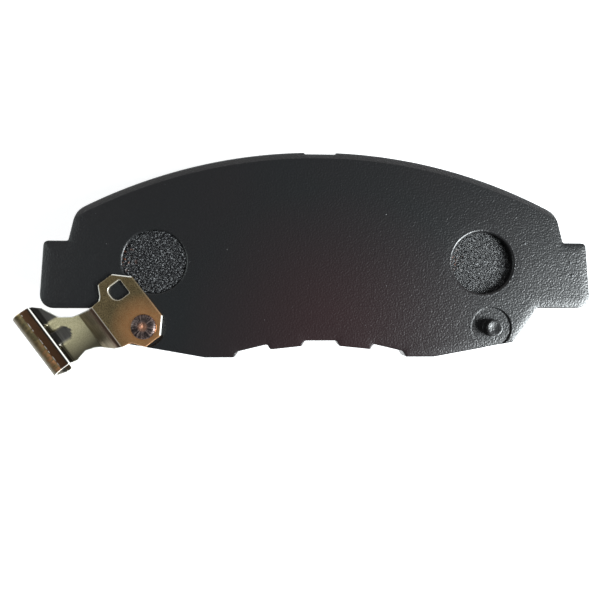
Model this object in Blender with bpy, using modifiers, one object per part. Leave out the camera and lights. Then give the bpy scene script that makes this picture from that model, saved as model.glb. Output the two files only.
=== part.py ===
"""Disc-brake pad of a passenger car: stamped backing plate, bond film, underlayer, friction
lining and a spring-steel wear indicator staked to the plate.

Frame: +X along the pad, +Y radially outwards from the disc's axle, +Z from the friction face
towards the plate's back. The origin is the centre of the plate's back face, where the caliper
presses. Sizes are in metres.
"""

from math import atan2, ceil, cos, pi, radians, sin, sqrt, tan

import bmesh
import bpy
from mathutils import Matrix, Vector

MM = 0.001

# How the pieces meet, and how finely round stretches are drawn
SEAT_GAP = 0.12 * MM  # between two pieces that touch
ARC_STEP = radians(18)  # turn of one facet on a small radius
ROUND_FACETS = 36  # facets of a full round hole or stud
ARC_TOOL_FACETS = 200  # facets of the full ring that coins the arc's bevel
CUT_MARGIN = 1.0 * MM  # how far a cutter runs past what it cuts
FLAT_ANGLE = radians(0.3)  # facets this close to one plane are made one face
SHARP_ANGLE = radians(35)  # edges that turn by more than this are shaded sharp
MERGE = 0.001 * MM  # points this close are one point
PLATE_ARC_PIECES = 18  # straight pieces of half the plate's outer arc
LINING_ARC_PIECES = 16  # and of half the lining's

# Backing plate
PLATE_LENGTH = 150.8 * MM  # over both lugs
PLATE_HEIGHT = 56.6 * MM  # from the bottom flats to the top of the arc
PLATE_THICKNESS = 6.0 * MM
ARC_RADIUS = 140.6 * MM  # of the outer edge
EDGE_ROUND = 0.45 * MM  # rounding of the plate's edges
ARC_BEVEL_WIDTH = 2.1 * MM  # coined bevel along the outer arc
ARC_BEVEL_DEPTH = 0.9 * MM
CENTRE_NOTCH_HALF = 4.25 * MM  # half width of both centre notches
TOP_NOTCH_DEPTH = 0.55 * MM
BOTTOM_NOTCH_DEPTH = 4.5 * MM

# Lugs that slide in the caliper bracket
LUG_REACH = 7.45 * MM  # past the body's side
LUG_DROP = 8.6 * MM  # from the shoulder down to the lug's top
LUG_HEIGHT = 18.2 * MM
LUG_DRAFT = 1.0 * MM  # the lug's end leans in by this much at its top
LUG_CORNER_RADIUS = 3.6 * MM
LUG_TOP_RADIUS = 1.3 * MM
BODY_LEAN = 2.0 * MM  # the body's side leans in by this much at the shoulder
SHOULDER_RADIUS = 4.0 * MM

# Lower edge
LUG_UNDERSIDE = 15.05 * MM  # from the lug's end to the flank
FLANK_WIDTH = 7.05 * MM  # the slanted flank below each lug
FLANK_HEIGHT = 9.4 * MM
FLAT_OUTER = 31.2 * MM  # the two bottom flats, from the centre line
FLAT_INNER = 23.45 * MM
STEP_OUTER = 22.5 * MM  # the relief beside each flat
STEP_INNER = 14.55 * MM
STEP_OUTER_RISE = 1.6 * MM
STEP_INNER_RISE = 3.5 * MM
TOOTH_OUTER = 13.7 * MM  # the low tooth beside the centre notch
TOOTH_INNER = 5.15 * MM
TOOTH_OUTER_RISE = 2.1 * MM
TOOTH_INNER_RISE = 3.0 * MM
SMALL_CORNER = 0.6 * MM

# Mould holes, which the friction mix fills
MOULD_HOLE_RADIUS = 8.55 * MM
MOULD_HOLE_FROM_END = 30.5 * MM
MOULD_HOLE_Y = -2.35 * MM
LEFT_PLUG_SINK = 0.4 * MM  # how far each plug stops below the back face
RIGHT_PLUG_SINK = 1.7 * MM

# Half-pierced studs in coined recesses
STUD_RADIUS = 2.25 * MM
STUD_FROM_FLANK = 7.47 * MM
STUD_ALONG_FLANK = 11.82 * MM  # from the flank's top corner
STUD_HEIGHT = 2.1 * MM  # above the back face
STUD_DISH_RADIUS = 1.55 * MM
STUD_DISH_DEPTH = 0.35 * MM
STUD_EDGE_ROUND = 0.2 * MM
RECESS_RADIUS = 5.75 * MM
RECESS_DEPTH = 0.35 * MM
PUNCH_RADIUS = 2.1 * MM  # blind punch mark on the friction side
PUNCH_DEPTH = 2.3 * MM

# Spun head of the left stud, which holds the wear indicator
HEAD_RADIUS = 3.35 * MM
HEAD_THICKNESS = 0.95 * MM
HEAD_CROWN_RADIUS = 2.5 * MM
HEAD_CROWN_FALL = 0.08 * MM  # from the dish's rim to the crown's edge
HEAD_RIM_HEIGHT = 0.25 * MM  # of the head's widest point above the strip
HEAD_SHOULDER_HEIGHT = 0.43 * MM
HEAD_RIM_ROUND = 0.12 * MM
HEAD_DISH_RADIUS = 0.9 * MM
HEAD_DISH_DEPTH = 0.3 * MM

# Lining stack under the plate
BOND_THICKNESS = 0.2 * MM
UNDERLAYER_THICKNESS = 1.8 * MM
LINING_THICKNESS = 8.7 * MM
LINING_TOP_INSET = 2.6 * MM  # inside the plate's outline
LINING_END_INSET = 13.5 * MM
LINING_FLANK_INSET = 2.4 * MM
LINING_BOTTOM_INSET = 5.6 * MM
LINING_CORNER_RADIUS = 3.0 * MM
LINING_EDGE_ROUND = 0.3 * MM
SLOT_WIDTH = 3.2 * MM
SLOT_FLOOR = 1.4 * MM  # lining left over the underlayer below the slot
CHAMFER_LENGTH = 7.5 * MM
CHAMFER_DEPTH = 2.6 * MM

# Wear indicator: one strip of spring steel, bent across its length
SHEET = 0.8 * MM
STRIP_CLEAR_OF_FLANK = 0.18 * MM  # from the flank to the first bend
STRIP_ABOVE_FLANK = 0.63 * MM  # the bend starts this far above the flank's top corner
STAKE_HOLE_CLEARANCE = 0.15 * MM
DROP_ANGLE = radians(40)
DROP_BEND_RADIUS = 1.6 * MM  # bend radii are at the sheet's mid plane
DROP_LENGTH = 5.3 * MM
ARM_BEND_RADIUS = 1.2 * MM
ARM_LENGTH = 7.75 * MM
WALL_FOOT_RADIUS = 0.9 * MM
WALL_LENGTH = 0.7 * MM
RIDGE_RADIUS = 0.6 * MM
CREST_LENGTH = 1.5 * MM
HOOK_RADIUS = 4.1 * MM
HOOK_ANGLE = radians(96)
LEG_LENGTH = 2.9 * MM
FOOT_BEND_RADIUS = 1.2 * MM
FOOT_ANGLE = radians(72)
FOOT_LENGTH = 1.1 * MM
BEND_FACET = radians(13)

# The strip's blank, as (outwards from the first bend, along the bend, corner radius) in mm.
# The base lies on the plate, on the negative side of the first bend.
BASE_UPPER_EDGE = (
    (0.0, 0.0, 0.0),
    (-2.2, -0.15, 0.8),
    (-3.1, -1.0, 1.0),
    (-4.55, -3.8, 0.8),
    (-9.3, -3.9, 0.8),
    (-13.1, -0.25, 0.8),
)
BASE_LOWER_EDGE = (
    (-13.3, 13.0, 0.8),
    (-9.75, 17.0, 0.8),
    (-4.8, 17.05, 0.8),
    (-2.55, 13.9, 1.5),
    (0.0, 13.4, 0.4),
)
# The arm and the leg, on the positive side, along the flattened strip
ARM_LOWER_EDGE = (
    (2.7, 12.4, 0.8),
    (8.8, 8.6, 2.0),
    (11.2, 7.8, 1.0),
    (13.9, 8.4, 0.8),
    (16.3, 8.2, 0.8),
)
ARM_UPPER_EDGE = (
    (16.2, -10.4, 0.8),
    (13.9, -8.6, 1.0),
    (11.6, -4.3, 1.5),
    (8.6, -2.1, 1.5),
    (1.3, -0.1, 0.8),
)
LEG_LOWER = 8.2  # the two corners of the strip's end, along the bend
LEG_UPPER = -11.4
LEG_CORNER = 0.5
KEY_HOLE = (
    (-10.05, -1.55, 0.4),
    (-10.05, 2.95, 0.4),
    (-5.5, 2.95, 2.1),
    (-5.5, -1.55, 1.6),
)

# Colours, as linear red, green, blue
COATING_BLACK = (0.018, 0.019, 0.021)
RESIN_BROWN = (0.11, 0.055, 0.025)
UNDERLAYER_GREY = (0.06, 0.055, 0.05)
LINING_GREY = (0.085, 0.08, 0.075)
ZINC_YELLOW = (0.42, 0.36, 0.20)

# Places worked out from the sizes above
HALF_LENGTH = PLATE_LENGTH / 2
TOP = PLATE_HEIGHT / 2
BOTTOM = -PLATE_HEIGHT / 2
ARC_CENTRE_Y = TOP - ARC_RADIUS
BODY_SIDE_X = HALF_LENGTH - LUG_REACH
SHOULDER_X = BODY_SIDE_X - BODY_LEAN
MOULD_HOLE_X = HALF_LENGTH - MOULD_HOLE_FROM_END


def arc_height(x, radius=ARC_RADIUS):
    """Height of a circle about the arc's centre, at a distance x from the centre line."""
    return ARC_CENTRE_Y + sqrt(radius * radius - x * x)


SHOULDER_Y = arc_height(SHOULDER_X)
LUG_TOP = SHOULDER_Y - LUG_DROP
LUG_BOTTOM = LUG_TOP - LUG_HEIGHT
FLANK_TOP = Vector((HALF_LENGTH - LUG_UNDERSIDE, LUG_BOTTOM))
FLANK_FOOT = FLANK_TOP - Vector((FLANK_WIDTH, FLANK_HEIGHT))
FLANK_DOWN = (FLANK_FOOT - FLANK_TOP).normalized()  # the right flank, downwards
FLANK_INWARD = Vector((FLANK_DOWN.y, -FLANK_DOWN.x))
STUD = FLANK_TOP + FLANK_INWARD * STUD_FROM_FLANK + FLANK_DOWN * STUD_ALONG_FLANK
FRICTION_SIDE = -PLATE_THICKNESS
BOND_TOP = FRICTION_SIDE - SEAT_GAP
UNDERLAYER_TOP = BOND_TOP - BOND_THICKNESS - SEAT_GAP
LINING_TOP = UNDERLAYER_TOP - UNDERLAYER_THICKNESS - SEAT_GAP
FRICTION_FACE = LINING_TOP - LINING_THICKNESS


# ---------------------------------------------------------------- outlines


def rounded(corners):
    """Points of a closed outline whose corners (x, y, radius) are rounded by arcs."""
    points = []
    for i, (x, y, radius) in enumerate(corners):
        here = Vector((x, y))
        before = Vector(corners[i - 1][:2])
        after = Vector(corners[(i + 1) % len(corners)][:2])
        into, out = (here - before).normalized(), (after - here).normalized()
        turn = atan2(into.x * out.y - into.y * out.x, into.dot(out))
        if radius == 0 or abs(turn) < radians(1):
            points.append(here)
            continue
        tangent = radius * tan(abs(turn) / 2)
        start = here - into * tangent
        side = Vector((-into.y, into.x)) * (1 if turn > 0 else -1)
        centre = start + side * radius
        steps = max(2, ceil(abs(turn) / ARC_STEP))
        for step in range(steps + 1):
            spin = Matrix.Rotation(turn * step / steps, 2)
            points.append(centre + spin @ (start - centre))
    return points


def past_centre(right_half):
    """A right half's outline, run on past the centre line, where it is cut off and mirrored."""
    top, bottom = right_half[0], right_half[-1]
    return [(-CUT_MARGIN, top[1], 0.0), *right_half, (-CUT_MARGIN, bottom[1], 0.0)]


def arc_corners(from_x, to_x, radius, pieces):
    """Points along the outer arc, between two distances from the centre line."""
    step = (to_x - from_x) / pieces
    xs = [from_x + step * i for i in range(pieces + 1)]
    return [(x, arc_height(x, radius), 0.0) for x in xs]


def circle(x, y, radius):
    """Points round a hole, listed anticlockwise."""
    turns = [2 * pi * i / ROUND_FACETS for i in range(ROUND_FACETS)]
    return [Vector((x + radius * cos(a), y + radius * sin(a))) for a in turns]


def plate_half():
    """The backing plate's right half seen from its back, clockwise from the top notch."""
    notch_ceiling = arc_height(0) - TOP_NOTCH_DEPTH
    arc = arc_corners(CENTRE_NOTCH_HALF, SHOULDER_X, ARC_RADIUS, PLATE_ARC_PIECES)
    half = [(CENTRE_NOTCH_HALF, notch_ceiling, 0.0), *arc[:-1]]
    half += [
        (SHOULDER_X, SHOULDER_Y, SHOULDER_RADIUS),
        (BODY_SIDE_X, LUG_TOP, SMALL_CORNER),
        (HALF_LENGTH - LUG_DRAFT, LUG_TOP, LUG_TOP_RADIUS),
        (HALF_LENGTH, LUG_BOTTOM, LUG_CORNER_RADIUS),
        (*FLANK_TOP, SMALL_CORNER),
        (*FLANK_FOOT, SMALL_CORNER),
        (FLAT_OUTER, BOTTOM, SMALL_CORNER),
        (FLAT_INNER, BOTTOM, SMALL_CORNER),
        (STEP_OUTER, BOTTOM + STEP_OUTER_RISE, SMALL_CORNER),
        (STEP_INNER, BOTTOM + STEP_INNER_RISE, 0.0),
        (TOOTH_OUTER, BOTTOM + TOOTH_OUTER_RISE, 0.0),
        (TOOTH_INNER, BOTTOM + TOOTH_INNER_RISE, 0.0),
        (CENTRE_NOTCH_HALF, BOTTOM + BOTTOM_NOTCH_DEPTH, 0.0),
    ]
    return rounded(past_centre(half))


def lining_half():
    """The friction material's right half, inside the plate's outline."""
    top_radius = ARC_RADIUS - LINING_TOP_INSET
    end_x = HALF_LENGTH - LINING_END_INSET
    flank_start = FLANK_TOP + FLANK_INWARD * LINING_FLANK_INSET
    bottom = BOTTOM + LINING_BOTTOM_INSET
    along = FLANK_DOWN.x / FLANK_DOWN.y
    flank_end_y = flank_start.y + (end_x - flank_start.x) / along
    flank_foot_x = flank_start.x + (bottom - flank_start.y) * along
    first_x = end_x / LINING_ARC_PIECES
    arc = arc_corners(first_x, end_x, top_radius, LINING_ARC_PIECES - 1)
    half = arc[:-1] + [
        (end_x, arc_height(end_x, top_radius), LINING_CORNER_RADIUS),
        (end_x, flank_end_y, LINING_CORNER_RADIUS),
        (flank_foot_x, bottom, LINING_CORNER_RADIUS),
    ]
    return rounded(past_centre(half))


# ---------------------------------------------------------------- solids


def material(name, colour, roughness, metallic=0.0):
    """A Principled material of one colour."""
    made = bpy.data.materials.new(name)
    made.use_nodes = True
    shader = made.node_tree.nodes["Principled BSDF"]
    shader.inputs["Base Color"].default_value = (*colour, 1.0)
    shader.inputs["Roughness"].default_value = roughness
    shader.inputs["Metallic"].default_value = metallic
    made.diffuse_color = (*colour, 1.0)
    return made


def add_object(name, mesh, collection):
    """A new object that holds a mesh, in a collection."""
    made = bpy.data.objects.new(name, mesh)
    collection.objects.link(made)
    return made


def slab(name, outlines, low, high, collection, edge_round=0.0):
    """A flat piece between two heights. The first outline is its edge, the rest are holes."""
    curve = bpy.data.curves.new(name, "CURVE")
    curve.dimensions = "2D"
    curve.fill_mode = "BOTH"
    curve.extrude = (high - low) / 2 - edge_round
    curve.bevel_depth = edge_round
    curve.bevel_resolution = 0
    curve.offset = -edge_round
    for points in outlines:
        spline = curve.splines.new("POLY")
        spline.points.add(len(points) - 1)
        for point, place in zip(spline.points, points):
            point.co = (place.x, place.y, 0.0, 1.0)
        spline.use_cyclic_u = True
    drawn = add_object(name + "_curve", curve, collection)
    drawn.location.z = (high + low) / 2
    bpy.context.view_layer.update()
    seen = drawn.evaluated_get(bpy.context.evaluated_depsgraph_get())
    mesh = bpy.data.meshes.new_from_object(seen)
    mesh.name = name
    mesh.transform(drawn.matrix_world)
    bpy.data.objects.remove(drawn)
    edit = bmesh.new()
    edit.from_mesh(mesh)
    bmesh.ops.remove_doubles(edit, verts=edit.verts, dist=MERGE)
    edit.to_mesh(mesh)
    edit.free()
    return add_object(name, mesh, collection)


def mirrored_slab(name, outlines, low, high, collection, edge_round=0.0):
    """A slab drawn as its right half, cut open at the centre line and mirrored there."""
    half = slab(name, outlines, low, high, collection, edge_round)
    edit = bmesh.new()
    edit.from_mesh(half.data)
    everything = edit.verts[:] + edit.edges[:] + edit.faces[:]
    bmesh.ops.bisect_plane(
        edit, geom=everything, plane_co=(0, 0, 0), plane_no=(-1, 0, 0), clear_outer=True
    )
    join_flat_faces(edit)
    edit.to_mesh(half.data)
    edit.free()
    image = half.modifiers.new("Left half", "MIRROR")
    image.use_axis = (True, False, False)
    image.merge_threshold = MERGE
    return half


def join_flat_faces(edit):
    """Makes one face of neighbours in one plane."""
    bmesh.ops.dissolve_limit(edit, angle_limit=FLAT_ANGLE, verts=[], edges=edit.edges[:])
    bmesh.ops.recalc_face_normals(edit, faces=edit.faces)


def cylinder(name, x, y, radius, low, high, collection):
    """An upright cylinder between two heights."""
    mesh = bpy.data.meshes.new(name)
    edit = bmesh.new()
    bmesh.ops.create_cone(
        edit,
        cap_ends=True,
        segments=ROUND_FACETS,
        radius1=radius,
        radius2=radius,
        depth=high - low,
        matrix=Matrix.Translation((x, y, (high + low) / 2)),
    )
    edit.to_mesh(mesh)
    edit.free()
    return add_object(name, mesh, collection)


def box(name, low, high, collection):
    """A box between two corners."""
    low, high = Vector(low), Vector(high)
    mesh = bpy.data.meshes.new(name)
    edit = bmesh.new()
    size = Matrix.Diagonal((*(high - low), 1.0))
    bmesh.ops.create_cube(edit, size=1.0, matrix=Matrix.Translation((low + high) / 2) @ size)
    edit.to_mesh(mesh)
    edit.free()
    return add_object(name, mesh, collection)


def turned(name, profile, x, y, collection, steps=ROUND_FACETS):
    """A profile of (radius, height), listed down its outer side, turned about an upright axis.

    A profile that doesn't start on the axis is closed into a ring's section."""
    mesh = bpy.data.meshes.new(name)
    edges = [(i, i + 1) for i in range(len(profile) - 1)]
    if profile[0][0] > 0:
        edges.append((len(profile) - 1, 0))
    mesh.from_pydata([(radius, 0.0, height) for radius, height in profile], edges, [])
    made = add_object(name, mesh, collection)
    made.location = (x, y, 0.0)
    screw = made.modifiers.new("Turn", "SCREW")
    screw.axis = "Z"
    screw.steps = screw.render_steps = steps
    screw.use_merge_vertices = True
    screw.merge_threshold = MERGE
    return made


def cut(target, cutter, operation="DIFFERENCE"):
    """Cuts one solid with another, or joins it, and hides the tool."""
    boolean = target.modifiers.new(cutter.name, "BOOLEAN")
    boolean.operation = operation
    boolean.solver = "EXACT"
    boolean.object = cutter
    cutter.hide_render = True
    cutter.display_type = "WIRE"


def finish_object(made, look):
    """Gives a piece its material and smooth shading up to its sharp edges."""
    made.data.materials.clear()
    made.data.materials.append(look)
    made.data.shade_smooth()
    made.data.set_sharp_from_angle(angle=SHARP_ANGLE)


# ---------------------------------------------------------------- pieces


def stud_profile():
    """The right-hand stud: a plain boss with a dished top, rooted in the plate."""
    root = -RECESS_DEPTH - CUT_MARGIN
    return [
        (0.0, STUD_HEIGHT - STUD_DISH_DEPTH),
        (STUD_DISH_RADIUS, STUD_HEIGHT),
        (STUD_RADIUS - STUD_EDGE_ROUND, STUD_HEIGHT),
        (STUD_RADIUS, STUD_HEIGHT - STUD_EDGE_ROUND),
        (STUD_RADIUS, root),
        (0.0, root),
    ]


def spun_profile():
    """The left-hand stud after staking: a neck under a wide spun head."""
    head_low = SHEET + 2 * SEAT_GAP
    head_high = head_low + HEAD_THICKNESS
    root = -RECESS_DEPTH - CUT_MARGIN
    return [
        (0.0, head_high - HEAD_DISH_DEPTH),
        (HEAD_DISH_RADIUS, head_high),
        (HEAD_CROWN_RADIUS, head_high - HEAD_CROWN_FALL),
        (HEAD_RADIUS - HEAD_RIM_ROUND, head_low + HEAD_SHOULDER_HEIGHT),
        (HEAD_RADIUS, head_low + HEAD_RIM_HEIGHT),
        (HEAD_RADIUS - HEAD_RIM_ROUND, head_low),
        (STUD_RADIUS, head_low),
        (STUD_RADIUS, root),
        (0.0, root),
    ]


def backing_plate(parts, tools):
    """The stamped steel plate, with its mould holes, coined recesses, studs and top bevel."""
    outlines = [plate_half(), circle(MOULD_HOLE_X, MOULD_HOLE_Y, MOULD_HOLE_RADIUS)]
    plate = mirrored_slab("backing_plate", outlines, FRICTION_SIDE, 0.0, parts, EDGE_ROUND)
    inner = ARC_RADIUS - ARC_BEVEL_WIDTH
    reach = ARC_BEVEL_WIDTH + CUT_MARGIN
    slope = ARC_BEVEL_DEPTH / ARC_BEVEL_WIDTH
    bevel = [
        (inner - CUT_MARGIN, slope * CUT_MARGIN),
        (inner + reach, slope * CUT_MARGIN),
        (inner + reach, -slope * reach),
    ]
    cut(plate, turned("arc_bevel_tool", bevel, 0.0, ARC_CENTRE_Y, tools, ARC_TOOL_FACETS))
    for side, label in ((-1, "left"), (1, "right")):
        x, y = side * STUD.x, STUD.y
        recess = cylinder(f"recess_{label}", x, y, RECESS_RADIUS, -RECESS_DEPTH, CUT_MARGIN, tools)
        cut(plate, recess)
        mark_top = FRICTION_SIDE + PUNCH_DEPTH
        mark_low = FRICTION_SIDE - CUT_MARGIN
        cut(plate, cylinder(f"punch_{label}", x, y, PUNCH_RADIUS, mark_low, mark_top, tools))
        profile = spun_profile() if side < 0 else stud_profile()
        cut(plate, turned(f"stud_{label}", profile, x, y, tools), "UNION")
    finish_object(plate, material("black_powder_coat", COATING_BLACK, 0.45))


def bond_film(parts):
    """The adhesive between plate and underlayer, open round the plugs and punch marks."""
    plug_hole = circle(MOULD_HOLE_X, MOULD_HOLE_Y, MOULD_HOLE_RADIUS)
    outlines = [lining_half(), plug_hole, circle(*STUD, PUNCH_RADIUS)]
    film = mirrored_slab("bond_film", outlines, BOND_TOP - BOND_THICKNESS, BOND_TOP, parts)
    finish_object(film, material("cured_resin", RESIN_BROWN, 0.4))


def underlayer(parts, tools):
    """The first moulded layer, with the plugs that it pushes into the plate's holes."""
    low = UNDERLAYER_TOP - UNDERLAYER_THICKNESS
    layer = mirrored_slab("underlayer", [lining_half()], low, UNDERLAYER_TOP, parts)
    root = UNDERLAYER_TOP - UNDERLAYER_THICKNESS / 2
    for side, sink, label in ((-1, LEFT_PLUG_SINK, "left"), (1, RIGHT_PLUG_SINK, "right")):
        radius = MOULD_HOLE_RADIUS - SEAT_GAP
        x = side * MOULD_HOLE_X
        cut(layer, cylinder(f"plug_{label}", x, MOULD_HOLE_Y, radius, root, -sink, tools), "UNION")
        radius = PUNCH_RADIUS - SEAT_GAP
        top = FRICTION_SIDE + PUNCH_DEPTH - SEAT_GAP
        nib = cylinder(f"nib_{label}", side * STUD.x, STUD.y, radius, root, top, tools)
        cut(layer, nib, "UNION")
    finish_object(layer, material("underlayer_mix", UNDERLAYER_GREY, 0.9))


def friction_lining(parts, tools):
    """The block that rubs on the disc, with a centre slot and chamfered ends."""
    heights = (FRICTION_FACE, LINING_TOP)
    lining = mirrored_slab(
        "friction_lining", [lining_half()], *heights, parts, LINING_EDGE_ROUND
    )
    slot_top = LINING_TOP - SLOT_FLOOR
    slot_low = (-SLOT_WIDTH / 2, BOTTOM, FRICTION_FACE - CUT_MARGIN)
    slot_high = (SLOT_WIDTH / 2, TOP, slot_top)
    cut(lining, box("slot_tool", slot_low, slot_high, tools))
    end_x = HALF_LENGTH - LINING_END_INSET
    tilt = atan2(CHAMFER_DEPTH, CHAMFER_LENGTH)
    for side, label in ((-1, "left"), (1, "right")):
        reach = 2 * CHAMFER_LENGTH
        wedge = box(f"chamfer_{label}", (-reach, BOTTOM, -reach), (reach, TOP, 0.0), tools)
        wedge.location = (side * end_x, 0.0, FRICTION_FACE + CHAMFER_DEPTH)
        wedge.rotation_euler.y = -side * tilt
        cut(lining, wedge)
    finish_object(lining, material("lining_mix", LINING_GREY, 0.85))


# ---------------------------------------------------------------- wear indicator

# The strip's path away from the plate: (straight length, 0, 0) or (0, bend radius, turn),
# where a positive turn bends it towards the back
STRIP_PATH = (
    (0.0, DROP_BEND_RADIUS, -DROP_ANGLE),
    (DROP_LENGTH, 0.0, 0.0),
    (0.0, ARM_BEND_RADIUS, DROP_ANGLE),
    (ARM_LENGTH, 0.0, 0.0),
    (0.0, WALL_FOOT_RADIUS, pi / 2),
    (WALL_LENGTH, 0.0, 0.0),
    (0.0, RIDGE_RADIUS, -pi / 2),
    (CREST_LENGTH, 0.0, 0.0),
    (0.0, HOOK_RADIUS, -HOOK_ANGLE),
    (LEG_LENGTH, 0.0, 0.0),
    (0.0, FOOT_BEND_RADIUS, -FOOT_ANGLE),
    (FOOT_LENGTH, 0.0, 0.0),
)


def strip_stations():
    """Where each facet starts along the flattened strip, and its place (outwards, up)."""
    along, place, heading = 0.0, Vector((0.0, 0.0)), 0.0
    stations = [(along, place.copy())]
    for straight, radius, turn in STRIP_PATH:
        facets = ceil(abs(turn) / BEND_FACET) if radius else 1
        length = straight if not radius else radius * abs(turn)
        for _ in range(facets):
            heading += turn / facets / 2
            chord = length / facets
            place += Vector((cos(heading), sin(heading))) * chord
            heading += turn / facets / 2
            along += chord
            stations.append((along, place.copy()))
    return stations


def bent(distance, stations):
    """Place (outwards, up) of a point of the strip at a distance past the first bend."""
    if distance <= 0:
        return Vector((distance, 0.0))
    for (start, low), (end, high) in zip(stations, stations[1:]):
        if distance <= end:
            return low.lerp(high, (distance - start) / (end - start))
    return stations[-1][1].copy()


def strip_blank(strip_length):
    """The strip's flat outline and its two holes, as (outwards, along the bend)."""
    leg = [
        (strip_length / MM, LEG_LOWER, LEG_CORNER),
        (strip_length / MM, LEG_UPPER, LEG_CORNER),
    ]
    edge = [*BASE_UPPER_EDGE, *BASE_LOWER_EDGE, *ARM_LOWER_EDGE, *leg, *ARM_UPPER_EDGE]
    drawn = []
    for ring in (edge, KEY_HOLE):
        drawn.append(rounded([[value * MM for value in corner] for corner in ring]))
    outwards = -STUD_FROM_FLANK - STRIP_CLEAR_OF_FLANK
    along = STUD_ALONG_FLANK + STRIP_ABOVE_FLANK
    return [*drawn, circle(outwards, along, STUD_RADIUS + STAKE_HOLE_CLEARANCE)]


def wear_indicator(parts):
    """The strip: staked to the left stud, bent past the flank, hooked towards the disc."""
    stations = strip_stations()
    strip_length = stations[-1][0]
    strip = slab("wear_indicator", strip_blank(strip_length), 0.0, 0.0, parts)
    mesh = strip.data
    edit = bmesh.new()
    edit.from_mesh(mesh)
    join_flat_faces(edit)
    for along, _ in stations[:-1]:
        everything = edit.verts[:] + edit.edges[:] + edit.faces[:]
        bmesh.ops.bisect_plane(
            edit, geom=everything, plane_co=(along, 0.0, 0.0), plane_no=(1.0, 0.0, 0.0)
        )
    outward = Vector((FLANK_INWARD.x, -FLANK_INWARD.y))
    down = Vector((-FLANK_DOWN.x, FLANK_DOWN.y))
    first_bend = Vector((-FLANK_TOP.x, FLANK_TOP.y)) + outward * STRIP_CLEAR_OF_FLANK
    first_bend -= down * STRIP_ABOVE_FLANK
    base_height = SEAT_GAP + SHEET / 2
    for vert in edit.verts:
        place = bent(vert.co.x, stations)
        flat = first_bend + outward * place.x + down * vert.co.y
        vert.co = (flat.x, flat.y, base_height + place.y)
    bmesh.ops.recalc_face_normals(edit, faces=edit.faces)
    edit.to_mesh(mesh)
    edit.free()
    thicken = strip.modifiers.new("Sheet", "SOLIDIFY")
    thicken.thickness = SHEET
    thicken.offset = 0.0
    thicken.use_even_offset = True
    finish_object(strip, material("yellow_zinc", ZINC_YELLOW, 0.35, 1.0))


def main():
    for old in list(bpy.data.objects):
        bpy.data.objects.remove(old)
    parts = bpy.data.collections.new("brake_pad")
    tools = bpy.data.collections.new("cutters")
    for collection in (parts, tools):
        bpy.context.scene.collection.children.link(collection)
    backing_plate(parts, tools)
    bond_film(parts)
    underlayer(parts, tools)
    friction_lining(parts, tools)
    wear_indicator(parts)


main()
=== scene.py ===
"""Looks of a disc-brake pad: black powder-coated backing plate, moulded plugs, friction lining
and a yellow zinc-plated wear indicator.

Shapes are worked out in millimetres and turned into metres when a mesh is made. Most pieces are
closed shells over a triangulated outline, whose upper and lower sides are functions of place.
"""

from math import ceil, cos, pi, radians, sin

import bmesh
import bpy
import numpy as np
from mathutils import Euler, Matrix, Vector, noise
from mathutils.geometry import delaunay_2d_cdt


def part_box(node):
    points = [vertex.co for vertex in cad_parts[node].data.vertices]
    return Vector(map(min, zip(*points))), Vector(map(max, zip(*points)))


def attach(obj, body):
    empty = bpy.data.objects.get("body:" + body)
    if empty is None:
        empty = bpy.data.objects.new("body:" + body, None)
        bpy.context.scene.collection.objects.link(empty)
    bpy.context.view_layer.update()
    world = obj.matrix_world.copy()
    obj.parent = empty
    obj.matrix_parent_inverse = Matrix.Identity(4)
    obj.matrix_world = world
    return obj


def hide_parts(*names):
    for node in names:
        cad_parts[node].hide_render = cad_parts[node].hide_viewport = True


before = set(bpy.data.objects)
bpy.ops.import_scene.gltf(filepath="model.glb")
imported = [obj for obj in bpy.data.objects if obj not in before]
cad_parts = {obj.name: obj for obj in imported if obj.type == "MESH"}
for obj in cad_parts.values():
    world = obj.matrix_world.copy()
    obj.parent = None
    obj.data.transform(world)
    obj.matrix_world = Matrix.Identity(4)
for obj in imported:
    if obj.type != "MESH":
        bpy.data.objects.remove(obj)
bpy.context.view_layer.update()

MM = 0.001


def node_box(node):
    """Lowest and highest corners of a CAD node, in millimetres."""
    low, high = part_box(node)
    return np.array(low) / MM, np.array(high) / MM


PLATE_LOW, PLATE_HIGH = node_box("backing_plate")
LINING_LOW, LINING_HIGH = node_box("friction_lining")
FILM_LOW, FILM_HIGH = node_box("bond_film")
LAYER_LOW = node_box("underlayer")[0]
SEAT_GAP = 0.12  # between two CAD pieces that touch
LAYER_TOP = FILM_LOW[2] - SEAT_GAP  # of the underlayer without its plugs

# Backing plate
PLATE_UNDERSIDE = PLATE_LOW[2]
OUTLINE_STEP = 0.42
EDGE_ROUND = 0.42
EDGE_ROLL = (0.22, 2.8)  # how deep and how wide the stamped edge rolls down
ROLL_POWER = 2.2
HOLE_ROUND = 0.3
HOLE_ROLL = (0.2, 1.6)
HOLE_LIP = (0.07, 0.55, 0.2)  # height, place and half width of the raised lip round a hole
UNDERSIDE_ROUND = 0.3
ARC_RADIUS = 140.6
ARC_CUT = 0.064  # how much of the arc's height the top notch takes away
ARC_CENTRE_Y = PLATE_HIGH[1] - ARC_RADIUS + ARC_CUT
ARC_BEVEL = (2.1, 0.9)  # width and depth of the coined bevel along the top arc
PEEL_HEIGHT = 0.012  # waves in the coating
PEEL_LENGTH = 1.7
PEEL_EASE = 0.8  # over which the waves die away at an edge
PITS = ((69.3, -2.1), (69.8, -5.7), (56.5, 3.2))  # the largest pits in the coating
PIT_FLECK = (0.45, -0.25)  # from a pit to the bright fleck beside it
RUDDY_AT = (4.0, -24.0, 0.0)  # where the coating has its reddest tint

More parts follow.
